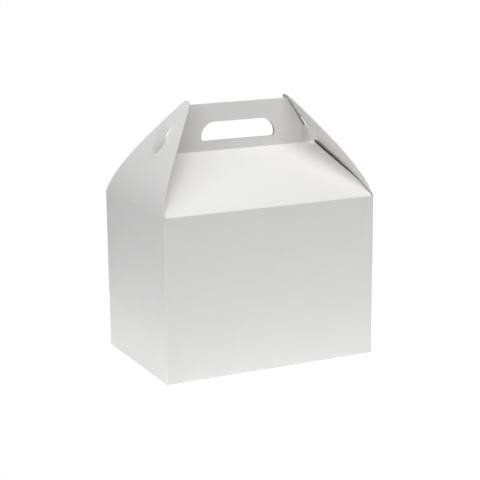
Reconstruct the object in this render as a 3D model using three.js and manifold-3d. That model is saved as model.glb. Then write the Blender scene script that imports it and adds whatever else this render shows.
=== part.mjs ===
// A gable box of white paperboard: a folded carton with a carrying handle and two hooked-on end flaps.
// X runs across the front, -Y faces the front and Z is up. The origin is the middle of the underside.
import * as THREE from "three";
import { mergeVertices } from "three/addons/utils/BufferGeometryUtils.js";
import Module from "manifold-3d";

const wasm = await Module();
wasm.setup();

// Sizes, in millimetres and degrees

// Board and folding
const board = 0.55; // thickness of the paperboard
const clearance = 0.3; // between a moving flap and what it folds from
const layerGap = 0.35; // between the two loose layers of the handle
const cornerRadius = 1; // outside radius of the upright creases
const bite = 0.05; // how far glued layers reach into each other

// Body
const width = 229; // outside, across the front
const depth = 151.5; // outside, front to back
const wallHeight = 164.8; // floor to the roof creases

// Roof panels
const roofRise = 46.7; // roof crease to handle crease
const edgeGap = 0.5; // end flap to the side edge of the roof, in the lower half
const edgeGapTop = 4; // the same gap at the handle crease
const gapStart = 0.45; // share of the roof's slope where that gap begins to grow
const gapEnd = 0.75; // share of the slope where it has grown

// Handle panels
const handleHeight = 47.5; // handle crease to top edge
const endGap = 0.5; // end flap to the ends of the top edge
const neckInset = 4.8; // end flap to the end edge, at the neck of the hook tab
const handleCorner = 2.5; // radius at the ends of the top edge
const holeWidth = 82; // hand hole
const holeHeight = 19;
const holeRise = 10; // handle crease to the hole's lower edge
const holeTopRadius = 15;
const holeFootRadius = 3.5;

// End flaps
const flapLength = 116; // crease to tip, along the board
const tipRadius = 12;
const tipShare = 0.96; // share of the tip's quarter rounds that is drawn; the rest is a narrow flat end
const sideAngle = 36; // of the side edge where it meets the tip, to the flap's middle line
const sideReach = 68; // how far down from there the side edge keeps near that angle
const creaseLean = 10; // inward lean at the crease
const tipLean = 37.7; // inward lean that the flap bends towards
const bendLength = 26; // how soon it gets there

// Hook tabs and the slots they pass through
const slotMiddle = 69; // flap crease to the middle of the slot
const slotWidth = 16; // of its leaf-shaped part
const leafLength = 25; // of that part, from the slot's lower end
const slitWidth = 2.8; // of the slit above the leaf, where the barbs pass
const slotPlay = 2; // slot end to tab
const cutDepth = 12; // how far the slot's cutter reaches to each side of the flap
const neckLength = 18.5; // of the tab where it passes through the slot
const tabReach = 4; // how far it stands out from the flap at its lower end
const tabFoot = 0.8; // how far its lower edge starts from the middle of the flap's board
const tabSlant = 0.7; // share of its reach where that edge turns upwards
const barbLength = 9.5; // how far the barb reaches up past the neck
const barbGap = 2; // flap to barb
const barbHook = 0.5; // how much nearer to the flap the barb's root lies than its tip
const barbWidth = 7;
const barbRadius = 3;
const barbSlant = 1; // how far the middle of the barb's end lies below its tip

// Bottom, closed by two lock panels and two side panels
const lockLap = 14; // how far each lock panel reaches past the middle
const seam = 0.5; // between the edges of the lock panels
const tongueReach = 58; // from the middle line out
const sidePanelReach = 52;
const sidePanelStep = 5; // the side panel is narrower than the side wall by this at each end
const glueFlap = 16; // width of the strip that closes the carton, inside a back corner

const halfWidth = width / 2;
const halfDepth = depth / 2;
const creaseX = halfWidth - board / 2; // middle of the side wall's board
const creaseY = halfDepth - board / 2; // middle of the front wall's board
const handleY = (layerGap + board) / 2; // middle of a handle panel's board
const handleZ = wallHeight + roofRise;
const roofRun = creaseY - handleY;
const roofSlope = Math.atan2(roofRise, roofRun);

// Solids

function solidOf(geometry) {
  const bare = geometry.index ? geometry.toNonIndexed() : geometry.clone();
  bare.deleteAttribute("normal");
  bare.deleteAttribute("uv");
  const merged = mergeVertices(bare, 1e-4);
  const vertProperties = new Float32Array(merged.attributes.position.array);
  const triVerts = new Uint32Array(merged.index.array);
  return new wasm.Manifold(new wasm.Mesh({ numProp: 3, vertProperties, triVerts }));
}

function geometryOf(solid) {
  const { vertProperties, triVerts } = solid.getMesh();
  const geometry = new THREE.BufferGeometry();
  geometry.setAttribute("position", new THREE.BufferAttribute(vertProperties, 3));
  geometry.setIndex(new THREE.BufferAttribute(triVerts, 1));
  geometry.computeVertexNormals();
  return geometry;
}

function joined(geometries) {
  return geometries.map(solidOf).reduce((whole, piece) => whole.add(piece));
}

function plate(shape, thickness) {
  return new THREE.ExtrudeGeometry(shape, { depth: thickness, bevelEnabled: false, curveSegments: 8 });
}

function rodAlongX(length, radius) {
  return new THREE.CylinderGeometry(radius, radius, length, 12).rotateZ(Math.PI / 2);
}

function rodAlongY(length, radius) {
  return new THREE.CylinderGeometry(radius, radius, length, 12);
}

// A sheet between two matching grids of points. Rows run up the sheet, and points run to the right
// in each row as the first grid is seen from outside.
function sheet(outside, inside) {
  const rows = outside.length;
  const columns = outside[0].length;
  const positions = [outside, inside].flat(2).flatMap((point) => point.toArray());
  const index = [];
  const at = (side, row, column) => (side * rows + row) * columns + column;
  const quad = (a, b, c, d) => index.push(a, b, c, a, c, d);
  for (let i = 0; i < rows - 1; i++) {
    for (let j = 0; j < columns - 1; j++) {
      quad(at(0, i, j), at(0, i, j + 1), at(0, i + 1, j + 1), at(0, i + 1, j));
      quad(at(1, i, j), at(1, i + 1, j), at(1, i + 1, j + 1), at(1, i, j + 1));
    }
  }
  const top = rows - 1;
  const right = columns - 1;
  for (let j = 0; j < right; j++) {
    quad(at(0, 0, j + 1), at(0, 0, j), at(1, 0, j), at(1, 0, j + 1));
    quad(at(0, top, j), at(0, top, j + 1), at(1, top, j + 1), at(1, top, j));
  }
  for (let i = 0; i < top; i++) {
    quad(at(0, i, 0), at(0, i + 1, 0), at(1, i + 1, 0), at(1, i, 0));
    quad(at(0, i + 1, right), at(0, i, right), at(1, i, right), at(1, i + 1, right));
  }
  const geometry = new THREE.BufferGeometry();
  geometry.setAttribute("position", new THREE.Float32BufferAttribute(positions, 3));
  geometry.setIndex(index);
  return geometry;
}

// The bent line of the right end flap, in the plane of X and Z

function leanAt(s) {
  const lean = tipLean - (tipLean - creaseLean) * Math.exp(-s / bendLength);
  return THREE.MathUtils.degToRad(lean);
}

const lineStep = 0.5;
const flapLine = [new THREE.Vector2(creaseX, wallHeight)];
for (let s = lineStep / 2; s < flapLength; s += lineStep) {
  const last = flapLine.at(-1);
  const next = new THREE.Vector2(-Math.sin(leanAt(s)), Math.cos(leanAt(s)));
  flapLine.push(next.multiplyScalar(lineStep).add(last));
}

// The point at a distance up the flap, moved outwards from the middle of its board.
function onFlap(s, outwards = 0) {
  const place = Math.min(Math.max(s / lineStep, 0), flapLine.length - 1);
  const step = Math.min(Math.floor(place), flapLine.length - 2);
  const point = flapLine[step].clone().lerp(flapLine[step + 1], place - step);
  const outward = new THREE.Vector2(Math.cos(leanAt(s)), Math.sin(leanAt(s)));
  return point.addScaledVector(outward, outwards);
}

// X of the flap's inside face at a height.
function insideFlap(z) {
  const step = Math.max(flapLine.findIndex((point) => point.y >= z), 1);
  const below = flapLine[step - 1];
  const above = flapLine[step];
  const middle = THREE.MathUtils.mapLinear(z, below.y, above.y, below.x, above.x);
  return middle - board / 2 / Math.cos(leanAt(step * lineStep));
}

// Roof

// Half the width of a roof panel at a share of its slope. Its side edge follows the end flap's inside.
function roofHalf(share) {
  const growth = THREE.MathUtils.smoothstep(share, gapStart, gapEnd);
  return insideFlap(wallHeight + share * roofRise) - THREE.MathUtils.lerp(edgeGap, edgeGapTop, growth);
}

function roofPanel() {
  const rows = 20;
  const outside = [];
  const inside = [];
  for (let i = 0; i <= rows; i++) {
    const share = i / rows;
    const middle = new THREE.Vector3(0, share * roofRun - creaseY, wallHeight + share * roofRise);
    const outward = new THREE.Vector3(0, -Math.sin(roofSlope), Math.cos(roofSlope)).multiplyScalar(board / 2);
    const edges = [-roofHalf(share), roofHalf(share)].map((x) => middle.clone().setX(x));
    outside.push(edges.map((point) => point.clone().add(outward)));
    inside.push(edges.map((point) => point.clone().sub(outward)));
  }
  return sheet(outside, inside);
}

// Handle

// Draws the right end of the handle, from its crease round the hook tab to the top edge.
function drawHandleEnd(outline) {
  const go = (point) => outline.lineTo(point.x, point.y);
  const curve = (control, end) => outline.quadraticCurveTo(control.x, control.y, end.x, end.y);
  const foot = slotMiddle - (neckLength + barbLength) / 2;
  const neck = foot + neckLength;
  const tip = neck + barbLength;
  const neckPoint = new THREE.Vector2(onFlap(neck).x - neckInset, onFlap(neck).y);
  const topZ = handleZ + handleHeight;
  const topEnd = new THREE.Vector2(insideFlap(topZ) - endGap, topZ);
  const slant = neckPoint.clone().sub(topEnd).normalize();
  go(onFlap(foot, tabFoot));
  curve(onFlap(foot, tabReach * tabSlant), onFlap(foot + barbRadius, tabReach));
  go(onFlap(tip - barbWidth, barbGap + barbWidth));
  curve(onFlap(tip - barbRadius, barbGap + barbWidth), onFlap(tip - barbSlant, barbGap + barbWidth / 2));
  go(onFlap(tip, barbGap));
  go(onFlap(neck, barbGap - barbHook));
  go(neckPoint);
  go(topEnd.clone().addScaledVector(slant, handleCorner));
  curve(topEnd, new THREE.Vector2(topEnd.x - handleCorner, topEnd.y));
}

function handOutline() {
  const half = holeWidth / 2;
  const low = handleZ + holeRise;
  const high = low + holeHeight;
  const hole = new THREE.Path();
  hole.moveTo(-half + holeFootRadius, low);
  hole.lineTo(half - holeFootRadius, low);
  hole.absarc(half - holeFootRadius, low + holeFootRadius, holeFootRadius, -Math.PI / 2, 0);
  hole.lineTo(half, high - holeTopRadius);
  hole.absarc(half - holeTopRadius, high - holeTopRadius, holeTopRadius, 0, Math.PI / 2);
  hole.lineTo(-half + holeTopRadius, high);
  hole.absarc(-half + holeTopRadius, high - holeTopRadius, holeTopRadius, Math.PI / 2, Math.PI);
  hole.lineTo(-half, low + holeFootRadius);
  hole.absarc(-half + holeFootRadius, low + holeFootRadius, holeFootRadius, Math.PI, Math.PI * 1.5);
  return hole;
}

function handlePanel() {
  const outline = new THREE.Shape();
  outline.moveTo(0, handleZ);
  outline.lineTo(roofHalf(1), handleZ);
  drawHandleEnd(outline);
  const right = outline.getPoints(8).slice(1);
  const left = right.toReversed().map((point) => new THREE.Vector2(-point.x, point.y));
  const whole = new THREE.Shape([...right, ...left]);
  whole.holes.push(handOutline());
  return plate(whole, board)
    .rotateX(Math.PI / 2)
    .translate(0, board / 2 - handleY, 0);
}

// Walls and bottom

function roundedBox(halfX, halfY, radius) {
  const shape = new THREE.Shape();
  shape.moveTo(radius - halfX, -halfY);
  shape.absarc(halfX - radius, radius - halfY, radius, -Math.PI / 2, 0);
  shape.absarc(halfX - radius, halfY - radius, radius, 0, Math.PI / 2);
  shape.absarc(radius - halfX, halfY - radius, radius, Math.PI / 2, Math.PI);
  shape.absarc(radius - halfX, radius - halfY, radius, Math.PI, Math.PI * 1.5);
  return shape;
}

function walls() {
  const ring = roundedBox(halfWidth, halfDepth, cornerRadius);
  ring.holes.push(roundedBox(halfWidth - board, halfDepth - board, cornerRadius - board));
  return plate(ring, wallHeight);
}

// The front lock panel. Its left half lies under the back one's tongue, and its own tongue lies over
// the back panel's right half.
function lockPanel() {
  const outer = new THREE.Shape();
  outer.moveTo(-creaseX, -creaseY);
  outer.lineTo(creaseX, -creaseY);
  outer.lineTo(creaseX, -lockLap - seam);
  outer.lineTo(-seam / 2, -lockLap - seam);
  outer.lineTo(-seam / 2, lockLap);
  outer.lineTo(-creaseX, lockLap);
  const tongue = new THREE.Shape();
  tongue.moveTo(seam, -lockLap - 4 * seam - lockLap / 4);
  tongue.lineTo(tongueReach, -lockLap - 4 * seam - lockLap / 4);
  tongue.lineTo(tongueReach, lockLap / 2);
  tongue.quadraticCurveTo(tongueReach, lockLap, tongueReach - lockLap / 2, lockLap);
  tongue.lineTo(lockLap, lockLap);
  tongue.quadraticCurveTo(seam, lockLap, seam, 0);
  return [plate(outer, board), plate(tongue, board + bite).translate(0, 0, board - bite)];
}

function sidePanel() {
  const long = creaseY - sidePanelStep;
  const short = long - sidePanelReach;
  const shape = new THREE.Shape();
  shape.moveTo(creaseX, -long);
  shape.lineTo(creaseX, long);
  shape.lineTo(creaseX - sidePanelReach, short);
  shape.lineTo(creaseX - sidePanelReach, -short);
  return plate(shape, board + bite).translate(0, 0, board - bite);
}

function glueStrip() {
  const end = halfWidth - board;
  const low = 3 * board;
  const high = wallHeight - 3 * board;
  const shape = new THREE.Shape();
  shape.moveTo(-end - bite, low);
  shape.lineTo(glueFlap - end, low + glueFlap / 2);
  shape.lineTo(glueFlap - end, high - glueFlap / 2);
  shape.lineTo(-end - bite, high);
  return plate(shape, board + bite)
    .rotateX(Math.PI / 2)
    .translate(0, halfDepth - board + bite, 0);
}

// Each half of the top and of the bottom, turned half round, is the other one.
function both(make) {
  return [0, Math.PI].flatMap((turn) => [make()].flat().map((piece) => piece.rotateZ(turn)));
}

function carton() {
  return joined([
    walls(),
    ...both(lockPanel),
    ...both(sidePanel),
    glueStrip(),
    ...both(() => rodAlongX(2 * roofHalf(0), board / 2).translate(0, -creaseY, wallHeight)),
    ...both(() => rodAlongY(2 * (creaseY - cornerRadius), board / 2).translate(creaseX, 0, wallHeight)),
    ...both(roofPanel),
    ...both(() => rodAlongX(2 * roofHalf(1), board / 2).translate(0, -handleY, handleZ)),
    ...both(handlePanel),
  ]);
}

// End flaps

// Half the flap's outline, drawn flat: x is half its width and y the distance from its crease.
function flapOutline() {
  const angle = THREE.MathUtils.degToRad(sideAngle);
  const centre = flapLength - tipRadius;
  const meet = new THREE.Vector2(tipRadius * Math.cos(angle), centre + tipRadius * Math.sin(angle));
  const outline = new THREE.Path();
  outline.moveTo(halfDepth, board / 2 + clearance);
  outline.quadraticCurveTo(
    meet.x + sideReach * Math.sin(angle),
    meet.y - sideReach * Math.cos(angle),
    meet.x,
    meet.y,
  );
  outline.absarc(0, centre, tipRadius, angle, tipShare * Math.PI / 2);
  return outline.getPoints(24);
}

function flapSheet() {
  const rows = flapOutline();
  const row = ({ x, y }, outwards) => {
    const place = onFlap(y, outwards);
    return [-x, x].map((across) => new THREE.Vector3(place.x, across, place.y));
  };
  return sheet(
    rows.map((point) => row(point, board / 2)),
    rows.map((point) => row(point, -board / 2)),
  );
}

// Cutters for the slot, a leaf and the slit above it, square to the flap at the slot's middle.
function slotCutters() {
  const half = (neckLength + barbLength) / 2 + slotPlay;
  const leafMiddle = leafLength / 2 - half;
  const leaf = new THREE.Shape();
  leaf.moveTo(0, -half);
  leaf.quadraticCurveTo(slotWidth, leafMiddle, 0, leafLength - half);
  leaf.quadraticCurveTo(-slotWidth, leafMiddle, 0, -half);
  const slit = new THREE.Shape();
  slit.moveTo(-slitWidth / 2, leafMiddle);
  slit.lineTo(slitWidth / 2, leafMiddle);
  slit.lineTo(slitWidth / 2, half);
  slit.lineTo(-slitWidth / 2, half);
  const place = onFlap(slotMiddle);
  return [leaf, slit].map((shape) =>
    plate(shape, 2 * cutDepth)
      .translate(0, 0, -cutDepth)
      .rotateX(Math.PI / 2)
      .rotateZ(Math.PI / 2)
      .rotateY(-leanAt(slotMiddle))
      .translate(place.x, 0, place.y),
  );
}

function endFlap() {
  return solidOf(flapSheet()).subtract(joined(slotCutters()));
}

// The box

const paperboard = new THREE.MeshStandardMaterial({ color: 0xf2f1ef, roughness: 0.8, metalness: 0 });

function piece(name, geometry) {
  const mesh = new THREE.Mesh(geometry, paperboard);
  mesh.name = name;
  return mesh;
}

const box = new THREE.Group();
const flapGeometry = geometryOf(endFlap());
const leftFlap = piece("left_end_flap", flapGeometry);
leftFlap.scale.x = -1;
box.add(piece("carton", geometryOf(carton())), leftFlap, piece("right_end_flap", flapGeometry));

export default box;
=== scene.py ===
"""A gable box of white paperboard with a carrying handle and two end flaps hooked onto its ends."""

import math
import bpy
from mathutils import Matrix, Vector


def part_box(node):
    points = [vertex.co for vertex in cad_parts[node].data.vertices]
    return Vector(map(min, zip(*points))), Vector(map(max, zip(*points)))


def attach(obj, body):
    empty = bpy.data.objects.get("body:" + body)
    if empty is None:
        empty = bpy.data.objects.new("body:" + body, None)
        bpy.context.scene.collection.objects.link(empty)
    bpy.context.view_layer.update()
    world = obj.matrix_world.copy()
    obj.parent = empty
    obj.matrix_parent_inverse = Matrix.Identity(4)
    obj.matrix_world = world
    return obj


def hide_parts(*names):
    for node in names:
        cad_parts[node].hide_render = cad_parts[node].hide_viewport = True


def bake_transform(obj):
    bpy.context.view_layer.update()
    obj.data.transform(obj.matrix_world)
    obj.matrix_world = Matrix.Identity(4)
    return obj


bl_info = {
    "name": "Gable Box",
    "version": (1, 0, 0),
    "blender": (4, 5, 0),
    "location": "3D View > Sidebar > Gable Box",
    "description": "Folds a paperboard gable box and sets it on a studio floor",
    "category": "Add Mesh",
}

import bmesh
import bpy
from bpy.props import FloatProperty, FloatVectorProperty, PointerProperty
from mathutils import Matrix, Vector

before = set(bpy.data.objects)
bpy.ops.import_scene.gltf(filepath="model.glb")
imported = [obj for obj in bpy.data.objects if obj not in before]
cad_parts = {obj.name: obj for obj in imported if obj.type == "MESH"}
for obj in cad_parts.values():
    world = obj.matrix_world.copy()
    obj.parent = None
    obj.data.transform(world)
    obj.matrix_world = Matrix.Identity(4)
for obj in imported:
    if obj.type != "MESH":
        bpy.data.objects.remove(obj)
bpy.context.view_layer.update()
CARTON_LOW, CARTON_HIGH = (Vector(corner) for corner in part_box("carton"))
MM = 0.001

# About how long the facets of the board are
WALL_FACET = 12 * MM
ROOF_FACET = 6 * MM
FLAP_WIDTH_FACET = 8 * MM
FLAP_LENGTH_FACET = 3 * MM
TONGUE_RISE_FACET = 1 * MM

# How many facets a fold or a curved edge has
FOLD_FACETS = 6
SIDE_PANEL_FOLD_FACETS = 4
FLAP_CREASE_FACETS = 4
ROOF_EDGE_FACETS = 24
HANDLE_END_FACETS = 5
HOLE_FOOT_FACETS = 6
HOLE_TOP_FACETS = 14
FLAP_SIDE_FACETS = 40
FLAP_TIP_FACETS = 12
LEAF_FACETS = 24
TONGUE_FACETS = 8
FLOOR_FACETS = 96

# Points of a flat sheet that are as near as this are one point, before and after it is cut
SAME_POINT = 1e-7
MERGED_POINT = 2e-7

# Edges sharper than this stay sharp
SHARP_ANGLE = math.radians(35)

# Length of the lip of a fold, in crease radii
LIP_RADII = 3

# The materials of a sheet, in the order of its material slots, and what they have in common
FINISHES = ("coated_board", "plain_board", "cut_board")
COATED, PLAIN, CUT = range(len(FINISHES))
MOTTLE_DETAIL = 4
GRAIN_DETAIL = 6
MOTTLE_LOW = 0.3
MOTTLE_HIGH = 0.7
BOARD_SPECULAR = 0.35

# The stage. Each light has a size in metres, and the way to it from the middle of the box.
LIGHTS = {
    "key": ((0.9, 0.9), (-0.87, -0.28, 0.40)),
    "top": ((2.4, 1.0), (0.0, -0.38, 0.92)),
    "fill": ((1.1, 1.1), (0.35, 0.80, 0.50)),
}
BOX_MIDDLE = Vector((0, 0, 0.12))
FLOOR_ROUGHNESS = 0.9

# The room light grows from nothing to full between these heights of the way it comes from
HORIZON_LOW = -0.05
HORIZON_HIGH = 0.05

# The photograph's camera, found from the corners of the box. Its focal length is in pixels.
PHOTO_SIDE = 480
FOCAL_LENGTH = 1444.28
CAMERA_AZIMUTH = math.radians(-25.794)
CAMERA_ELEVATION = math.radians(13.190)
CAMERA_ROLL = math.radians(-0.548)
CAMERA_TARGET = Vector((1.62, 0, 115.92)) * MM
CAMERA_DISTANCE = 1481.5 * MM


# Sizes and colours


class CartonSizes(bpy.types.PropertyGroup):
    """The board, the walls and the roof."""

    board: FloatProperty(
        name="Board",
        description="Thickness of the paperboard",
        default=0.55 * MM,
        unit="LENGTH",
    )
    width: FloatProperty(
        name="Width",
        description="Outside width across the front",
        default=CARTON_HIGH.x - CARTON_LOW.x,
        unit="LENGTH",
    )
    depth: FloatProperty(
        name="Depth",
        description="Outside depth from front to back",
        default=CARTON_HIGH.y - CARTON_LOW.y,
        unit="LENGTH",
    )
    wall_height: FloatProperty(
        name="Wall height",
        description="Floor to the roof creases",
        default=164.8 * MM,
        unit="LENGTH",
    )
    roof_rise: FloatProperty(
        name="Roof rise",
        description="Roof crease to handle crease",
        default=46.7 * MM,
        unit="LENGTH",
    )
    corner_radius: FloatProperty(
        name="Corner radius",
        description="Outside radius of the upright creases",
        default=1.0 * MM,
        unit="LENGTH",
    )
    crease_radius: FloatProperty(
        name="Crease radius",
        description="Radius of the other folds, at the middle of the board",
        default=0.7 * MM,
        unit="LENGTH",
    )
    edge_gap: FloatProperty(
        name="Edge gap",
        description="End flap to the roof's side edge, near the roof crease",
        default=0.9 * MM,
        unit="LENGTH",
    )
    edge_gap_top: FloatProperty(
        name="Edge gap at the handle",
        description="End flap to the roof's side edge, at the handle crease",
        default=4.0 * MM,
        unit="LENGTH",
    )
    gap_start: FloatProperty(
        name="Gap start",
        description="Share of the roof's slope where the edge gap begins to grow",
        default=0.2,
        subtype="FACTOR",
    )
    gap_end: FloatProperty(
        name="Gap end",
        description="Share of the roof's slope where the edge gap has grown",
        default=0.75,
        subtype="FACTOR",
    )
    glue_strip: FloatProperty(
        name="Glue strip",
        description="Width of the strip that closes the carton inside a back corner",
        default=16 * MM,
        unit="LENGTH",
    )
    strip_depth: FloatProperty(
        name="Glue strip depth",
        description="Back of the box to the middle of the glue strip, in board thicknesses",
        default=1.6,
    )


class HandleSizes(bpy.types.PropertyGroup):
    """The handle panels and their hand hole."""

    height: FloatProperty(
        name="Handle height",
        description="Handle crease to top edge",
        default=47.5 * MM,
        unit="LENGTH",
    )
    layer_gap: FloatProperty(
        name="Layer gap",
        description="Between the two handle panels at their ends",
        default=0.35 * MM,
        unit="LENGTH",
    )
    swell: FloatProperty(
        name="Swell",
        description="How far each panel stands out at the middle of the handle crease",
        default=2.0 * MM,
        unit="LENGTH",
    )
    swell_power: FloatProperty(
        name="Swell power",
        description="How soon the swell fades towards the ends of the handle",
        default=1.5,
    )
    swell_loss: FloatProperty(
        name="Swell loss",
        description="Share of the swell that is gone at the top edge",
        default=0.75,
        subtype="FACTOR",
    )
    end_gap: FloatProperty(
        name="End gap",
        description="End flap to the ends of the top edge",
        default=0.5 * MM,
        unit="LENGTH",
    )
    end_rounding: FloatProperty(
        name="End rounding",
        description="Length of the rounding at the ends of the top edge",
        default=2.5 * MM,
        unit="LENGTH",
    )
    neck_inset: FloatProperty(
        name="Neck inset",
        description="End flap to the handle's end edge at the neck of the hook tab",
        default=4.8 * MM,
        unit="LENGTH",
    )
    hole_width: FloatProperty(
        name="Hole width",
        description="Length of the hand hole",
        default=82 * MM,
        unit="LENGTH",
    )
    hole_height: FloatProperty(
        name="Hole height",
        description="Height of the hand hole",
        default=19 * MM,
        unit="LENGTH",
    )
    hole_rise: FloatProperty(
        name="Hole rise",
        description="Handle crease to the hole's lower edge",
        default=10 * MM,
        unit="LENGTH",
    )
    hole_top_radius: FloatProperty(
        name="Upper corner radius",
        description="Radius of the hole's upper corners",
        default=15 * MM,
        unit="LENGTH",
    )
    hole_foot_radius: FloatProperty(
        name="Lower corner radius",
        description="Radius of the hole's lower corners",
        default=3.5 * MM,
        unit="LENGTH",
    )


class FlapSizes(bpy.types.PropertyGroup):
    """The end flaps and their slots, and the hook tabs that pass through the slots."""

    length: FloatProperty(
        name="Flap length",
        description="Crease to tip, along the board",
        default=116 * MM,
        unit="LENGTH",
    )
    tip_radius: FloatProperty(
        name="Tip radius",
        description="Radius of the rounded tip",
        default=12 * MM,
        unit="LENGTH",
    )
    side_angle: FloatProperty(
        name="Side angle",
        description="Side edge to the flap's middle line, where it meets the tip",
        default=math.radians(36),
        subtype="ANGLE",
    )
    side_reach: FloatProperty(
        name="Side reach",
        description="How long the side edge keeps near that angle",
        default=68 * MM,
        unit="LENGTH",
    )
    crease_lean: FloatProperty(
        name="Lean at the crease",
        description="Inward lean where the flap leaves its crease",
        default=math.radians(10),
        subtype="ANGLE",
    )
    tip_lean: FloatProperty(
        name="Lean at the tip",
        description="Inward lean that the flap bends towards",
        default=math.radians(37.7),
        subtype="ANGLE",
    )
    bend_length: FloatProperty(
        name="Bend length",
        description="How soon the flap reaches that lean",
        default=26 * MM,
        unit="LENGTH",
    )
    slot_middle: FloatProperty(
        name="Slot middle",
        description="Flap crease to the middle of the slot",
        default=69 * MM,
        unit="LENGTH",
    )
    slot_width: FloatProperty(
        name="Slot width",
        description="Width of the slot's leaf-shaped part",
        default=16 * MM,
        unit="LENGTH",
    )
    leaf_length: FloatProperty(
        name="Leaf length",
        description="Length of the slot's leaf-shaped part, from its lower end",
        default=22.5 * MM,
        unit="LENGTH",
    )
    slit_width: FloatProperty(
        name="Slit width",
        description="Width of the slit above the leaf, where the barbs pass",
        default=2.8 * MM,
        unit="LENGTH",
    )
    slot_play: FloatProperty(
        name="Slot play",
        description="End of the slot to the hook tab",
        default=2 * MM,
        unit="LENGTH",
    )
    neck_length: FloatProperty(
        name="Neck length",
        description="Length of the hook tab where it passes through the slot",
        default=18.5 * MM,
        unit="LENGTH",
    )
    tab_reach: FloatProperty(
        name="Tab reach",
        description="How far the hook tab stands out from the flap at its lower end",
        default=4 * MM,
        unit="LENGTH",
    )
    tab_foot: FloatProperty(
        name="Tab foot",
        description="Middle of the flap's board to the start of the tab's lower edge",
        default=0.8 * MM,
        unit="LENGTH",
    )
    tab_slant: FloatProperty(
        name="Tab slant",
        description="Share of the tab's reach where its lower edge turns upwards",
        default=0.7,
        subtype="FACTOR",
    )
    tab_rounding: FloatProperty(
        name="Tab rounding",
        description="Length of the rounding at the tab's lower end and at the barb's tip",
        default=3 * MM,
        unit="LENGTH",
    )
    barb_length: FloatProperty(
        name="Barb length",
        description="How far the barb reaches up past the neck",
        default=9.5 * MM,
        unit="LENGTH",
    )
    barb_gap: FloatProperty(
        name="Barb gap",
        description="Flap to barb",
        default=2 * MM,
        unit="LENGTH",
    )
    barb_width: FloatProperty(
        name="Barb width",
        description="Width of the barb",
        default=7 * MM,
        unit="LENGTH",
    )
    barb_hook: FloatProperty(
        name="Barb hook",
        description="How much nearer to the flap the barb's root lies than its tip",
        default=0.5 * MM,
        unit="LENGTH",
    )
    barb_slant: FloatProperty(
        name="Barb slant",
        description="How far the middle of the barb's end lies below its tip",
        default=1 * MM,
        unit="LENGTH",
    )


class BottomSizes(bpy.types.PropertyGroup):
    """The lock panels and the side panels of the bottom."""

    lap: FloatProperty(
        name="Lap",
        description="How far each lock panel reaches past the middle",
        default=14 * MM,
        unit="LENGTH",
    )
    tongue: FloatProperty(
        name="Tongue",
        description="Middle of the box to the far side of a lock panel's tongue",
        default=58 * MM,
        unit="LENGTH",
    )
    slit: FloatProperty(
        name="Slit",
        description="Half the width of the cut beside the tongue",
        default=0.5 * MM,
        unit="LENGTH",
    )
    rise_start: FloatProperty(
        name="Rise start",
        description="Edge of the other lock panel to where the tongue starts to rise",
        default=6 * MM,
        unit="LENGTH",
    )
    rise_end: FloatProperty(
        name="Rise end",
        description="Edge of the other lock panel to where the tongue has risen",
        default=2 * MM,
        unit="LENGTH",
    )
    tongue_lift: FloatProperty(
        name="Tongue lift",
        description="How far the tongue rises, in board thicknesses",
        default=1.05,
    )
    side_reach: FloatProperty(
        name="Side reach",
        description="How far each side panel reaches in from its wall",
        default=52 * MM,
        unit="LENGTH",
    )
    side_clearance: FloatProperty(
        name="Side clearance",
        description="Side panel to the front and back walls",
        default=5 * MM,
        unit="LENGTH",
    )
    side_height: FloatProperty(
        name="Side height",
        description="Height of the side panels' middle, in board thicknesses",
        default=1.55,
    )


class BoardColours(bpy.types.PropertyGroup):
    """The three surfaces of the paperboard. The cut edges' colour also holds a painted highlight.
    """

    coated: FloatVectorProperty(
        name="Coated side",
        description="Colour of the smooth outside",
        default=(0.86, 0.855, 0.85),
        subtype="COLOR",
    )
    plain: FloatVectorProperty(
        name="Plain side",
        description="Colour of the uncoated inside",
        default=(0.80, 0.775, 0.74),
        subtype="COLOR",
    )
    # Whiter than the coated side: the cut edges' own pale colour, brightened into a painted
    # highlight so that the lit edges show as bright lines
    cut: FloatVectorProperty(
        name="Cut edge",
        description="Colour of the cut edges",
        default=(0.97, 0.955, 0.92),
        subtype="COLOR",
    )


class StageSettings(bpy.types.PropertyGroup):
    """The floor, the room light and the lights."""

    floor: FloatVectorProperty(
        name="Floor",
        description="Colour of the floor",
        default=(0.9, 0.9, 0.9),
        subtype="COLOR",
    )
    floor_radius: FloatProperty(
        name="Floor radius",
        description="Radius of the round floor",
        default=0.42,
        unit="LENGTH",
    )
    floor_right: FloatProperty(
        name="Floor to the right",
        description="Box to the floor's middle, to the right",
        default=0.09,
        unit="LENGTH",
    )
    floor_front: FloatProperty(
        name="Floor to the front",
        description="Box to the floor's middle, to the front",
        default=0.12,
        unit="LENGTH",
    )
    floor_drop: FloatProperty(
        name="Floor drop",
        description="How far the floor lies under the box, so that their faces stay apart",
        default=0.2 * MM,
        unit="LENGTH",
    )
    glow: FloatProperty(
        name="Floor glow",
        description="How much the floor brightens what stands on it, as a lit table does",
        default=0.25,
        min=0,
    )
    seen_glow: FloatProperty(
        name="Seen floor glow",
        description="How much more the floor glows where it is seen, to blend with the white",
        default=0.3,
        min=0,
    )
    room: FloatProperty(
        name="Room light",
        description="Strength of the light from all round, above the floor",
        default=0.06,
        min=0,
    )
    key: FloatProperty(
        name="Key light",
        description="Power of the soft light from the left, in watts",
        default=9.8,
        min=0,
    )
    top: FloatProperty(
        name="Top light",
        description="Power of the soft light from above and in front, in watts",
        default=29.5,
        min=0,
    )
    fill: FloatProperty(
        name="Fill light",
        description="Power of the soft light from behind, in watts",
        default=12.0,
        min=0,
    )
    distance: FloatProperty(
        name="Light distance",
        description="From the box to each light",
        default=1.8,
        unit="LENGTH",
    )


# Folded lines and curves, in two dimensions


def turned(vector, angle):
    """A 2D vector turned by an angle."""
    return Matrix.Rotation(angle, 2) @ vector


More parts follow.
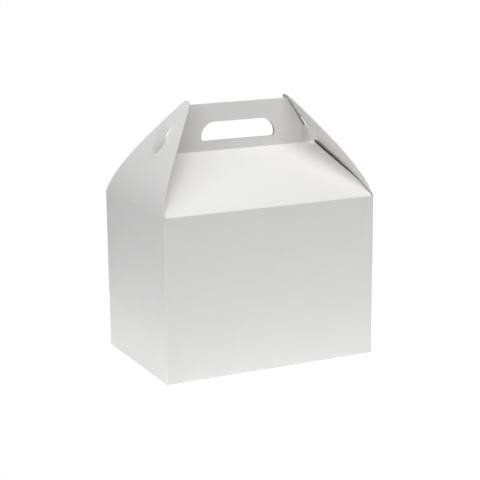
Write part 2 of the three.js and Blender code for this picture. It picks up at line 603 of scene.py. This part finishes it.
class FoldedLine:
    """A line of straight stretches with a rounded fold at each corner.

    A place on it is the distance along the unrounded corners. Its outside lies to the left of the
    way it runs where side is 1, and to the right where side is -1.
    """

    def __init__(self, corners, radius, side):
        self.corners = [Vector(corner) for corner in corners]
        self.radius = radius
        self.side = side
        self.ways = [(b - a).normalized() for a, b in zip(self.corners, self.corners[1:])]
        self.places = [0.0]
        for a, b in zip(self.corners, self.corners[1:]):
            self.places.append(self.places[-1] + (b - a).length)
        self.folds = []
        for number in range(1, len(self.corners) - 1):
            before, after = self.ways[number - 1], self.ways[number]
            turn = math.atan2(before.x * after.y - before.y * after.x, before.dot(after))
            self.folds.append((self.places[number], turn, radius * math.tan(abs(turn) / 2)))

    def at(self, place, outwards=0.0):
        """The point at a place, moved outwards."""
        for number, (middle, turn, reach) in enumerate(self.folds):
            if abs(place - middle) < reach:
                share = (place - middle + reach) / (2 * reach)
                before = self.ways[number]
                start = self.corners[number + 1] - before * reach
                to_centre = turned(before, math.copysign(math.pi / 2, turn)) * self.radius
                centre = start + to_centre
                way = turned(before, turn * share)
                point = centre + turned(-to_centre, turn * share)
                return point + turned(way, self.side * math.pi / 2) * outwards
        stretch = max(n for n, begin in enumerate(self.places[:-1]) if place >= begin or n == 0)
        way = self.ways[stretch]
        point = self.corners[stretch] + way * (place - self.places[stretch])
        return point + turned(way, self.side * math.pi / 2) * outwards

    def fold_lines(self, count=FOLD_FACETS):
        """Places that divide each fold into short facets."""
        return [
            middle + reach * (2 * step / count - 1)
            for middle, _, reach in self.folds
            for step in range(count + 1)
        ]


class FlapLine:
    """The bent line of the right end flap, in the plane of X and Z."""

    STEP = 0.5 * MM

    def __init__(self, carton, flap):
        self.flap = flap
        self.half_board = carton.board / 2
        self.points = [Vector((carton.width / 2 - self.half_board, carton.wall_height))]
        for number in range(round(flap.length / self.STEP) + 1):
            lean = self.lean((number + 0.5) * self.STEP)
            step = Vector((-math.sin(lean), math.cos(lean))) * self.STEP
            self.points.append(self.points[-1] + step)

    def lean(self, place):
        """The inward lean at a distance up the flap."""
        flap = self.flap
        share = math.exp(-max(place, 0) / flap.bend_length)
        return flap.tip_lean - (flap.tip_lean - flap.crease_lean) * share

    def at(self, place, outwards=0.0):
        """The point at a distance up the flap, moved outwards from the middle of its board.

        A place below 0 is on the wall under the crease.
        """
        if place <= 0:
            return self.points[0] + Vector((outwards, place))
        step = min(int(place / self.STEP), len(self.points) - 2)
        point = self.points[step].lerp(self.points[step + 1], place / self.STEP - step)
        lean = self.lean(place)
        return point + Vector((math.cos(lean), math.sin(lean))) * outwards

    def inside(self, height):
        """X of the flap's inside face at a height."""
        pairs = zip(self.points, self.points[1:])
        number, (below, above) = next(
            (n, pair) for n, pair in enumerate(pairs) if pair[1].y >= height
        )
        share = max(height - below.y, 0) / (above.y - below.y)
        middle = below.x + (above.x - below.x) * share
        return middle - self.half_board / math.cos(self.lean((number + 1) * self.STEP))


def smoothstep(value, low, high):
    """A soft rise from 0 at low to 1 at high."""
    share = min(max((value - low) / (high - low), 0), 1)
    return share * share * (3 - 2 * share)


def arc(centre, radius, first, last, count):
    """Points of an arc, with both ends."""
    angles = [first + (last - first) * step / count for step in range(count + 1)]
    return [Vector(centre) + Vector((math.cos(a), math.sin(a))) * radius for a in angles]


def bend(start, control, end, count):
    """Points of a quadratic curve, with both ends."""
    start, control, end = Vector(start), Vector(control), Vector(end)
    return [
        start.lerp(control, t).lerp(control.lerp(end, t), t)
        for t in (step / count for step in range(count + 1))
    ]


def spaced(low, high, step):
    """Evenly spaced values between two ends, without the ends."""
    count = max(round((high - low) / step), 1)
    return [low + (high - low) * number / count for number in range(1, count)]


# Board


def flat_sheet(outline, holes, across, along):
    """A flat sheet with holes, cut at lines across and along."""
    flat = bmesh.new()
    for loop in [outline, *holes]:
        corners = []
        for point in loop:
            if not corners or (Vector(point) - corners[-1].co.xy).length > SAME_POINT:
                corners.append(flat.verts.new((point[0], point[1], 0)))
        for a, b in zip(corners, corners[1:] + corners[:1]):
            flat.edges.new((a, b))
    bmesh.ops.triangle_fill(flat, use_beauty=True, edges=flat.edges[:], normal=(0, 0, 1))
    for lines, normal in ((across, (1, 0, 0)), (along, (0, 1, 0))):
        for line in lines:
            bmesh.ops.bisect_plane(
                flat,
                geom=flat.verts[:] + flat.edges[:] + flat.faces[:],
                dist=SAME_POINT,
                plane_co=Vector(normal) * line,
                plane_no=normal,
            )
    bmesh.ops.remove_doubles(flat, verts=flat.verts[:], dist=MERGED_POINT)
    flat.verts.ensure_lookup_table()
    flat.verts.index_update()
    return flat


def ring_of(face):
    """The numbers of a flat face's corners, anticlockwise as seen from its outside."""
    ring = [vertex.index for vertex in face.verts]
    if face.normal.z < 0:
        ring.reverse()
    return ring


def folded_mesh(name, flat, place, board):
    """The mesh of a flat sheet that is folded by place and given the board's thickness."""
    count = len(flat.verts)
    places = [vertex.co.xy.copy() for vertex in flat.verts]
    points = [place(u, v, board / 2) for u, v in places]
    points += [place(u, v, -board / 2) for u, v in places]
    faces = []
    finishes = []
    for face in flat.faces:
        ring = ring_of(face)
        faces.append(ring)
        faces.append([number + count for number in reversed(ring)])
        finishes += [COATED, PLAIN]
    for edge in flat.edges:
        if len(edge.link_faces) != 1:
            continue
        ring = ring_of(edge.link_faces[0])
        a, b = (vertex.index for vertex in edge.verts)
        if ring[(ring.index(a) + 1) % len(ring)] != b:
            a, b = b, a
        faces.append([b, a, a + count, b + count])
        finishes.append(CUT)
    mesh = bpy.data.meshes.new(name)
    mesh.from_pydata([tuple(point) for point in points], [], faces)
    for polygon, finish in zip(mesh.polygons, finishes):
        polygon.material_index = finish
        polygon.use_smooth = True
    mesh.set_sharp_from_angle(angle=SHARP_ANGLE)
    for finish_name in FINISHES:
        mesh.materials.append(bpy.data.materials[finish_name])
    mesh.validate()
    return mesh


def sheet_piece(name, outline, holes, across, along, place, board, body):
    """A piece of board, folded from a flat outline with holes.

    place takes a point of the flat sheet and a distance outwards from the middle of the board.
    Where body is None, the piece is not attached to a body.
    """
    flat = flat_sheet(outline, holes, across, along)
    piece = bpy.data.objects.new(name, folded_mesh(name, flat, place, board))
    flat.free()
    bpy.context.scene.collection.objects.link(piece)
    if body:
        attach(piece, body)
    return piece


def half_turned(place):
    """The same fold, turned half round the box."""

    def turned_place(u, v, w):
        x, y, z = place(u, v, w)
        return (-x, -y, z)

    return turned_place


def lip_length(carton):
    """How far a roof panel, flap or bottom panel reaches onto the flat of its wall."""
    return LIP_RADII * carton.crease_radius


# Materials


def new_material(name):
    """A fresh node material, with its nodes, its links and its shader."""
    material = bpy.data.materials.new(name)
    material.use_nodes = True
    nodes = material.node_tree.nodes
    return material, nodes, material.node_tree.links, nodes["Principled BSDF"]


def noise_node(nodes, links, scale, detail, stretch):
    """Noise in the object's own coordinates."""
    where = nodes.new("ShaderNodeTexCoord")
    mapping = nodes.new("ShaderNodeMapping")
    mapping.inputs["Scale"].default_value = stretch
    noise = nodes.new("ShaderNodeTexNoise")
    noise.inputs["Scale"].default_value = scale
    noise.inputs["Detail"].default_value = detail
    links.new(where.outputs["Object"], mapping.inputs["Vector"])
    links.new(mapping.outputs["Vector"], noise.inputs["Vector"])
    return noise


def board_material(name, colour, shade, mottle, grain, relief, roughness, stretch=(1, 1, 1)):
    """Board with a soft mottle in its colour and a fine grain in its relief.

    shade is how much darker the mottle gets, from 0 to 1. mottle and grain are noise scales, and
    relief is the height of the grain.
    """
    material, nodes, links, shader = new_material(name)
    mottle_noise = noise_node(nodes, links, mottle, MOTTLE_DETAIL, stretch)
    tone = nodes.new("ShaderNodeValToRGB")
    dark, light = tone.color_ramp.elements
    dark.position, light.position = MOTTLE_LOW, MOTTLE_HIGH
    dark.color = (*[part * (1 - shade) for part in colour], 1)
    light.color = (*colour, 1)
    links.new(mottle_noise.outputs["Fac"], tone.inputs["Fac"])
    links.new(tone.outputs["Color"], shader.inputs["Base Color"])
    grain_noise = noise_node(nodes, links, grain, GRAIN_DETAIL, stretch)
    bump = nodes.new("ShaderNodeBump")
    bump.inputs["Strength"].default_value = 1
    bump.inputs["Distance"].default_value = relief
    links.new(grain_noise.outputs["Fac"], bump.inputs["Height"])
    links.new(bump.outputs["Normal"], shader.inputs["Normal"])
    shader.inputs["Roughness"].default_value = roughness
    shader.inputs["Specular IOR Level"].default_value = BOARD_SPECULAR


class GABLEBOX_OT_finishes(bpy.types.Operator):
    """Make the finishes of the paperboard's outside, inside and cut edges."""

    bl_idname = "gablebox.finishes"
    bl_label = "Board Finishes"

    def execute(self, context):
        colours = context.scene.gablebox_colours
        board_material(
            FINISHES[COATED],
            colours.coated,
            shade=0.012,
            mottle=60,
            grain=2600,
            relief=0.004 * MM,
            roughness=0.52,
        )
        board_material(
            FINISHES[PLAIN],
            colours.plain,
            shade=0.07,
            mottle=420,
            grain=1500,
            relief=0.02 * MM,
            roughness=0.8,
            stretch=(1, 1, 0.35),
        )
        # The cut edges' finish: their own pale colour, with a painted highlight that makes them
        # show as bright lines
        board_material(
            FINISHES[CUT],
            colours.cut,
            shade=0.14,
            mottle=900,
            grain=4000,
            relief=0.03 * MM,
            roughness=0.85,
            stretch=(0.3, 0.3, 1),
        )
        return {"FINISHED"}


# Walls


class GABLEBOX_OT_walls(bpy.types.Operator):
    """Fold the four walls and the glue strip."""

    bl_idname = "gablebox.walls"
    bl_label = "Walls"

    def execute(self, context):
        carton = context.scene.gablebox_carton
        board, height = carton.board, carton.wall_height
        half_x, half_y = carton.width / 2, carton.depth / 2
        crease_x, crease_y = half_x - board / 2, half_y - board / 2
        strip_y = half_y - carton.strip_depth * board
        line = FoldedLine(
            [
                (carton.glue_strip - half_x, strip_y),
                (-crease_x, strip_y),
                (-crease_x, -crease_y),
                (crease_x, -crease_y),
                (crease_x, crease_y),
                (board / 4 - half_x, crease_y),
            ],
            carton.corner_radius - board / 2,
            -1,
        )
        strip, left, front, right, back = line.places[1:]
        lip = lip_length(carton)
        low, high = board / 2 + lip, height - lip

        # The middle of each edge is cut back, for the lip of the panel that it carries
        upper = []
        lower = []
        for first, last in ((strip, left), (left, front), (front, right), (right, back)):
            start = first + carton.corner_radius
            end = last - carton.corner_radius
            if last == back:
                end += board
            upper += [(start, height), (start, high), (end, high), (end, height)]
            lower += [(start, 0), (start, low), (end, low), (end, 0)]

        # The glue strip gets narrower away from its crease
        flat = strip - carton.corner_radius
        inset = 3 * board
        slope = carton.glue_strip / 2
        outline = [
            (0, inset + slope),
            (flat, inset),
            (strip, 0),
            *lower,
            (back, 0),
            (back, height),
            *upper[::-1],
            (strip, height),
            (flat, height - inset),
            (0, height - inset - slope),
        ]

        def place(u, v, w):
            x, y = line.at(u, w)
            return (x, y, v)

        across = line.fold_lines() + spaced(0, back, WALL_FACET)
        along = spaced(0, height, WALL_FACET)
        sheet_piece("walls", outline, [], across, along, place, board, "carton")
        return {"FINISHED"}


# Roof and handle


def roof_half(carton, flap_line, share):
    """Half the width of a roof panel at a share of its slope."""
    growth = smoothstep(share, carton.gap_start, carton.gap_end)
    gap = carton.edge_gap + (carton.edge_gap_top - carton.edge_gap) * growth
    return flap_line.inside(carton.wall_height + share * carton.roof_rise) - gap


def handle_end(carton, handle, flap, line):
    """The right end of the handle, from its crease round the hook tab to the top edge.

    Points are X and Z.
    """
    neck = flap.slot_middle - (flap.neck_length + flap.barb_length) / 2 + flap.neck_length
    foot, tip = neck - flap.neck_length, neck + flap.barb_length
    neck_point = line.at(neck) - Vector((handle.neck_inset, 0))
    top = carton.wall_height + carton.roof_rise + handle.height
    top_end = Vector((line.inside(top) - handle.end_gap, top))
    slant = (neck_point - top_end).normalized()
    outer = flap.barb_gap + flap.barb_width
    lower_curve = bend(
        line.at(foot, flap.tab_foot),
        line.at(foot, flap.tab_slant * flap.tab_reach),
        line.at(foot + flap.tab_rounding, flap.tab_reach),
        HANDLE_END_FACETS,
    )
    barb_curve = bend(
        line.at(tip - flap.barb_width, outer),
        line.at(tip - flap.tab_rounding, outer),
        line.at(tip - flap.barb_slant, flap.barb_gap + flap.barb_width / 2),
        HANDLE_END_FACETS,
    )
    top_curve = bend(
        top_end + slant * handle.end_rounding,
        top_end,
        top_end - Vector((handle.end_rounding, 0)),
        HANDLE_END_FACETS,
    )
    return [
        *lower_curve,
        *barb_curve,
        line.at(tip, flap.barb_gap),
        line.at(neck, flap.barb_gap - flap.barb_hook),
        neck_point,
        *top_curve,
    ]


def hand_hole(carton, handle):
    """The hand hole's outline, in X and Z."""
    low = carton.wall_height + carton.roof_rise + handle.hole_rise
    high = low + handle.hole_height
    half = handle.hole_width / 2
    foot, top = handle.hole_foot_radius, handle.hole_top_radius
    quarter = math.pi / 2
    return [
        *arc((half - foot, low + foot), foot, -quarter, 0, HOLE_FOOT_FACETS),
        *arc((half - top, high - top), top, 0, quarter, HOLE_TOP_FACETS),
        *arc((top - half, high - top), top, quarter, 2 * quarter, HOLE_TOP_FACETS),
        *arc((foot - half, low + foot), foot, 2 * quarter, 3 * quarter, HOLE_FOOT_FACETS),
    ]


class GABLEBOX_OT_roof(bpy.types.Operator):
    """Fold the two roof panels with their handle panels, hand holes and hook tabs."""

    bl_idname = "gablebox.roof"
    bl_label = "Roof and Handle"

    def execute(self, context):
        carton = context.scene.gablebox_carton
        handle = context.scene.gablebox_handle
        flap = context.scene.gablebox_flap
        board = carton.board
        flap_line = FlapLine(carton, flap)
        crease_y = carton.depth / 2 - board / 2
        handle_y = (handle.layer_gap + board) / 2
        handle_z = carton.wall_height + carton.roof_rise
        line = FoldedLine(
            [
                (-crease_y, carton.wall_height - lip_length(carton)),
                (-crease_y, carton.wall_height),
                (-handle_y, handle_z),
                (-handle_y, handle_z + handle.height),
            ],
            carton.crease_radius,
            1,
        )
        _, roof_start, handle_start, top_edge = line.places
        slope = handle_start - roof_start
        shares = [number / ROOF_EDGE_FACETS for number in range(ROOF_EDGE_FACETS + 1)]
        roof_edge = [
            (roof_half(carton, flap_line, share), roof_start + share * slope) for share in shares
        ]

        def on_sheet(points):
            return [(x, z - handle_z + handle_start) for x, z in points]

        lip_half = carton.width / 2 - carton.corner_radius
        raised = on_sheet(handle_end(carton, handle, flap, flap_line))
        right = [(lip_half, 0), (lip_half, roof_start), *roof_edge, *raised]
        outline = right + [(-x, v) for x, v in right[::-1]]
        holes = [on_sheet(hand_hole(carton, handle))]
        reach = roof_half(carton, flap_line, 1)

        def swell(u, v):
            across = max(1 - (u / reach) ** 2, 0) ** handle.swell_power
            up = (v - roof_start) / slope
            if up > 1:
                up = 1 - handle.swell_loss * (v - handle_start) / handle.height
            return handle.swell * across * max(up, 0)

        def front(u, v, w):
            y, z = line.at(v, w)
            return (u, y - swell(u, v), z)

        across = spaced(-lip_half, lip_half, ROOF_FACET)
        along = line.fold_lines() + spaced(roof_start, handle_start, ROOF_FACET)
        along += spaced(handle_start, top_edge, ROOF_FACET)
        for name, place in (("roof_front", front), ("roof_back", half_turned(front))):
            sheet_piece(name, outline, holes, across, along, place, board, "carton")
        return {"FINISHED"}


# End flaps


def flap_side(carton, flap):
    """One side of the flap's outline, from its crease to the middle of its tip."""
    centre = flap.length - flap.tip_radius
    angle = flap.side_angle
    meet = Vector((math.cos(angle), math.sin(angle))) * flap.tip_radius + Vector((0, centre))
    control = meet + Vector((math.sin(angle), -math.cos(angle))) * flap.side_reach
    side = bend((carton.depth / 2, 0), control, meet, FLAP_SIDE_FACETS)
    return side + arc((0, centre), flap.tip_radius, angle, math.pi / 2, FLAP_TIP_FACETS)[1:]


def slot_outline(flap):
    """The slot, a leaf with a slit above it, across and up the flap."""
    half = (flap.neck_length + flap.barb_length) / 2 + flap.slot_play
    low, high = flap.slot_middle - half, flap.slot_middle + half
    slit = flap.slit_width / 2
    middle = low + flap.leaf_length / 2
    leaf = bend((0, low), (flap.slot_width, middle), (0, low + flap.leaf_length), LEAF_FACETS)
    right = [point for point in leaf if point.y < middle or point.x > slit]
    right.append(Vector((slit, high)))
    return right + [Vector((-point.x, point.y)) for point in right[:0:-1]]


class GABLEBOX_OT_flaps(bpy.types.Operator):
    """Bend the two end flaps up from the side walls."""

    bl_idname = "gablebox.flaps"
    bl_label = "End Flaps"

    def execute(self, context):
        carton = context.scene.gablebox_carton
        flap = context.scene.gablebox_flap
        line = FlapLine(carton, flap)
        lip = lip_length(carton)
        lip_half = carton.depth / 2 - carton.corner_radius
        right = [Vector((lip_half, -lip)), Vector((lip_half, 0))] + flap_side(carton, flap)
        outline = right + [Vector((-point.x, point.y)) for point in right[-2::-1]]
        holes = [slot_outline(flap)]

        def fold(u, v, w):
            x, z = line.at(v, w)
            return (x, u, z)

        across = spaced(-lip_half, lip_half, FLAP_WIDTH_FACET)
        crease = range(1 - FLAP_CREASE_FACETS, FLAP_CREASE_FACETS + 1)
        along = [lip * step / FLAP_CREASE_FACETS for step in crease]
        along += spaced(lip, flap.length, FLAP_LENGTH_FACET)
        for side, place, way in (("left", half_turned(fold), -1), ("right", fold, 1)):
            name = f"{side}_flap_sheet"
            piece = sheet_piece(name, outline, holes, across, along, place, carton.board, None)
            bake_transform(piece)
            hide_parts(f"{side}_end_flap")
        return {"FINISHED"}


# Bottom


def lock_panels(carton, bottom):
    """The front and back panels, each with a tongue that lies over the other panel."""
    board = carton.board
    lip = lip_length(carton)
    crease_y = carton.depth / 2 - board / 2
    level = board / 2
    lap, tongue, slit = bottom.lap, bottom.tongue, bottom.slit
    rise_start = crease_y - lap - bottom.rise_start
    rise_end = crease_y - lap - bottom.rise_end
    corners = [(-crease_y, level + lip), (-crease_y, level), (crease_y, level)]
    line = FoldedLine(corners, carton.crease_radius, -1)
    half = carton.width / 2 - 4 * board
    lip_half = carton.width / 2 - carton.corner_radius
    edge = lip + crease_y - lap - slit
    far = lip + crease_y + lap
    rounding = lap / 2
    outline = [
        (-lip_half, 0),
        (lip_half, 0),
        (lip_half, lip + 2 * board),
        (half, lip + 4 * board),
        (half, far),
        (slit, far),
        (slit, lip + rise_start),
        (-slit, lip + rise_start),
        *bend((-slit, far - lap), (-slit, far), (-lap, far), TONGUE_FACETS),
        *bend((rounding - tongue, far), (-tongue, far), (-tongue, far - rounding), TONGUE_FACETS),
        (-tongue, edge),
        (-half, edge),
        (-half, lip + 4 * board),
        (-lip_half, lip + 2 * board),
    ]

    def front(u, v, w):
        y, z = line.at(v, w)
        risen = smoothstep(v - lip, rise_start, rise_end) if u < 0 else 0
        return (-u, y, z + bottom.tongue_lift * board * risen)

    along = line.fold_lines() + spaced(lip, far, WALL_FACET)
    along += [lip + rise_start, lip + rise_end]
    along += spaced(lip + rise_start, lip + rise_end, TONGUE_RISE_FACET)
    across = spaced(-half, half, WALL_FACET)
    return [
        sheet_piece(name, outline, [], across, along, place, board, "carton")
        for name, place in (("lock_panel_front", front), ("lock_panel_back", half_turned(front)))
    ]


def side_panels(carton, bottom):
    """The left and right panels, which lie on the lock panels."""
    board = carton.board
    lip = lip_length(carton)
    crease_x, crease_y = carton.width / 2 - board / 2, carton.depth / 2 - board / 2
    level, upper = board / 2, bottom.side_height * board
    reach = bottom.side_reach
    line = FoldedLine(
        [
            (crease_x, level + lip),
            (crease_x, level),
            (crease_x - 2 * board, level),
            (crease_x - 5 * board, upper),
            (crease_x - reach, upper),
        ],
        carton.crease_radius / 2,
        1,
    )
    half = crease_y - bottom.side_clearance
    lip_half = carton.depth / 2 - carton.corner_radius
    end = line.places[-1]
    outline = [
        (-lip_half, 0),
        (lip_half, 0),
        (lip_half, lip + board),
        (half, lip + 2 * board),
        (half - reach, end),
        (reach - half, end),
        (-half, lip + 2 * board),
        (-lip_half, lip + board),
    ]

    def right(u, v, w):
        x, z = line.at(v, w)
        return (x, -u, z)

    along = line.fold_lines(SIDE_PANEL_FOLD_FACETS) + spaced(lip, end, WALL_FACET)
    across = spaced(-half, half, WALL_FACET)
    return [
        sheet_piece(name, outline, [], across, along, place, board, "carton")
        for name, place in (("side_panel_right", right), ("side_panel_left", half_turned(right)))
    ]


class GABLEBOX_OT_bottom(bpy.types.Operator):
    """Fold the two lock panels and the two side panels of the bottom."""

    bl_idname = "gablebox.bottom"
    bl_label = "Bottom"

    def execute(self, context):
        carton = context.scene.gablebox_carton
        bottom = context.scene.gablebox_bottom
        pieces = [bpy.data.objects[name] for name in ("walls", "roof_front", "roof_back")]
        pieces += lock_panels(carton, bottom)
        pieces += side_panels(carton, bottom)
        for piece in pieces:
            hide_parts("carton")
        return {"FINISHED"}


# Stage


def area_light(name, power, size, place, target):
    """A soft oblong light that faces a point. size is its width and its height."""
    lamp = bpy.data.lights.new(name, "AREA")
    lamp.energy = power
    lamp.shape = "RECTANGLE"
    lamp.size, lamp.size_y = size
    light = bpy.data.objects.new(name, lamp)
    light.location = place
    light.rotation_euler = (target - place).to_track_quat("-Z", "Y").to_euler()
    bpy.context.scene.collection.objects.link(light)


def seen_as_white(nodes, links):
    """A factor of 1 for rays that show the background itself."""
    path = nodes.new("ShaderNodeLightPath")
    glossy = nodes.new("ShaderNodeMath")
    glossy.operation = "MAXIMUM"
    clear = nodes.new("ShaderNodeMath")
    clear.operation = "MAXIMUM"
    links.new(path.outputs["Is Camera Ray"], glossy.inputs[0])
    links.new(path.outputs["Is Glossy Ray"], glossy.inputs[1])
    links.new(glossy.outputs[0], clear.inputs[0])
    links.new(path.outputs["Is Transmission Ray"], clear.inputs[1])
    return clear.outputs[0]


def studio_floor(settings):
    """A small round floor, which glows more where it is seen."""
    mesh = bpy.data.meshes.new("floor")
    rim = bmesh.new()
    bmesh.ops.create_circle(
        rim, cap_ends=True, segments=FLOOR_FACETS, radius=settings.floor_radius
    )
    rim.to_mesh(mesh)
    rim.free()
    floor = bpy.data.objects.new("floor", mesh)
    floor.location = (settings.floor_right, -settings.floor_front, -settings.floor_drop)
    bpy.context.scene.collection.objects.link(floor)

    material, nodes, links, shader = new_material("studio_floor")
    shader.inputs["Base Color"].default_value = (*settings.floor, 1)
    shader.inputs["Roughness"].default_value = FLOOR_ROUGHNESS
    shader.inputs["Specular IOR Level"].default_value = 0
    glow = nodes.new("ShaderNodeEmission")
    glow.inputs["Color"].default_value = (1, 1, 1, 1)
    strength = nodes.new("ShaderNodeMath")
    strength.operation = "MULTIPLY_ADD"
    strength.inputs[1].default_value = settings.seen_glow
    strength.inputs[2].default_value = settings.glow
    both = nodes.new("ShaderNodeAddShader")
    links.new(seen_as_white(nodes, links), strength.inputs[0])
    links.new(strength.outputs[0], glow.inputs["Strength"])
    links.new(shader.outputs[0], both.inputs[0])
    links.new(glow.outputs[0], both.inputs[1])
    links.new(both.outputs[0], nodes["Material Output"].inputs["Surface"])
    mesh.materials.append(material)


def studio_world(settings):
    """A world that is white where it is seen, and else a dim light from above the floor."""
    world = bpy.data.worlds.new("studio")
    bpy.context.scene.world = world
    world.use_nodes = True
    nodes, links = world.node_tree.nodes, world.node_tree.links
    where = nodes.new("ShaderNodeTexCoord")
    apart = nodes.new("ShaderNodeSeparateXYZ")
    above = nodes.new("ShaderNodeMapRange")
    above.inputs["From Min"].default_value = HORIZON_LOW
    above.inputs["From Max"].default_value = HORIZON_HIGH
    above.inputs["To Max"].default_value = settings.room
    links.new(where.outputs["Generated"], apart.inputs["Vector"])
    links.new(apart.outputs["Z"], above.inputs["Value"])
    room = nodes["Background"]
    room.inputs["Color"].default_value = (1, 1, 1, 1)
    links.new(above.outputs["Result"], room.inputs["Strength"])
    white = nodes.new("ShaderNodeBackground")
    white.inputs["Color"].default_value = (1, 1, 1, 1)
    white.inputs["Strength"].default_value = 1
    mix = nodes.new("ShaderNodeMixShader")
    links.new(seen_as_white(nodes, links), mix.inputs["Fac"])
    links.new(room.outputs[0], mix.inputs[1])
    links.new(white.outputs[0], mix.inputs[2])
    links.new(mix.outputs[0], nodes["World Output"].inputs["Surface"])


def photo_camera():
    """The photograph's camera."""
    camera = bpy.data.cameras.new("camera")
    camera.lens = FOCAL_LENGTH / PHOTO_SIDE * camera.sensor_width
    view = bpy.data.objects.new("camera", camera)
    bpy.context.scene.collection.objects.link(view)
    back = Vector(
        (
            math.sin(CAMERA_AZIMUTH) * math.cos(CAMERA_ELEVATION),
            -math.cos(CAMERA_AZIMUTH) * math.cos(CAMERA_ELEVATION),
            math.sin(CAMERA_ELEVATION),
        )
    )
    right = Vector((math.cos(CAMERA_AZIMUTH), math.sin(CAMERA_AZIMUTH), 0))
    up = back.cross(right)
    turned_right = right * math.cos(CAMERA_ROLL) + up * math.sin(CAMERA_ROLL)
    turned_up = up * math.cos(CAMERA_ROLL) - right * math.sin(CAMERA_ROLL)
    axes = Matrix((turned_right, turned_up, back)).transposed()
    place = CAMERA_TARGET + back * CAMERA_DISTANCE
    view.matrix_world = Matrix.Translation(place) @ axes.to_4x4()
    bpy.context.scene.camera = view


class GABLEBOX_OT_stage(bpy.types.Operator):
    """Set the floor, the room, the lights and the camera."""

    bl_idname = "gablebox.stage"
    bl_label = "Studio"

    def execute(self, context):
        settings = context.scene.gablebox_stage
        context.scene.view_settings.view_transform = "Standard"
        studio_floor(settings)
        studio_world(settings)
        for name, (size, way) in LIGHTS.items():
            place = BOX_MIDDLE + Vector(way).normalized() * settings.distance
            area_light(name, getattr(settings, name), size, place, BOX_MIDDLE)
        photo_camera()
        return {"FINISHED"}


# Panel and registration

STEPS = ("finishes", "walls", "roof", "flaps", "bottom", "stage")
GROUPS = {
    "gablebox_carton": CartonSizes,
    "gablebox_handle": HandleSizes,
    "gablebox_flap": FlapSizes,
    "gablebox_bottom": BottomSizes,
    "gablebox_colours": BoardColours,
    "gablebox_stage": StageSettings,
}


class GABLEBOX_PT_panel(bpy.types.Panel):
    """Lists the sizes and colours, and the steps that build the gable box."""

    bl_idname = "GABLEBOX_PT_panel"
    bl_label = "Gable Box"
    bl_space_type = "VIEW_3D"
    bl_region_type = "UI"
    bl_category = "Gable Box"

    def draw(self, context):
        for group in GROUPS:
            settings = getattr(context.scene, group)
            box = self.layout.box()
            for name in settings.__annotations__:
                box.prop(settings, name)
        for step in STEPS:
            self.layout.operator(f"gablebox.{step}")


CLASSES = (
    *GROUPS.values(),
    GABLEBOX_OT_finishes,
    GABLEBOX_OT_walls,
    GABLEBOX_OT_roof,
    GABLEBOX_OT_flaps,
    GABLEBOX_OT_bottom,
    GABLEBOX_OT_stage,
    GABLEBOX_PT_panel,
)


def register():
    for cls in CLASSES:
        bpy.utils.register_class(cls)
    for name, group in GROUPS.items():
        setattr(bpy.types.Scene, name, PointerProperty(type=group))


def unregister():
    for name in GROUPS:
        delattr(bpy.types.Scene, name)
    for cls in reversed(CLASSES):
        bpy.utils.unregister_class(cls)


def main():
    register()
    for step in STEPS:
        getattr(bpy.ops.gablebox, step)()


if __name__ == "__main__":
    main()
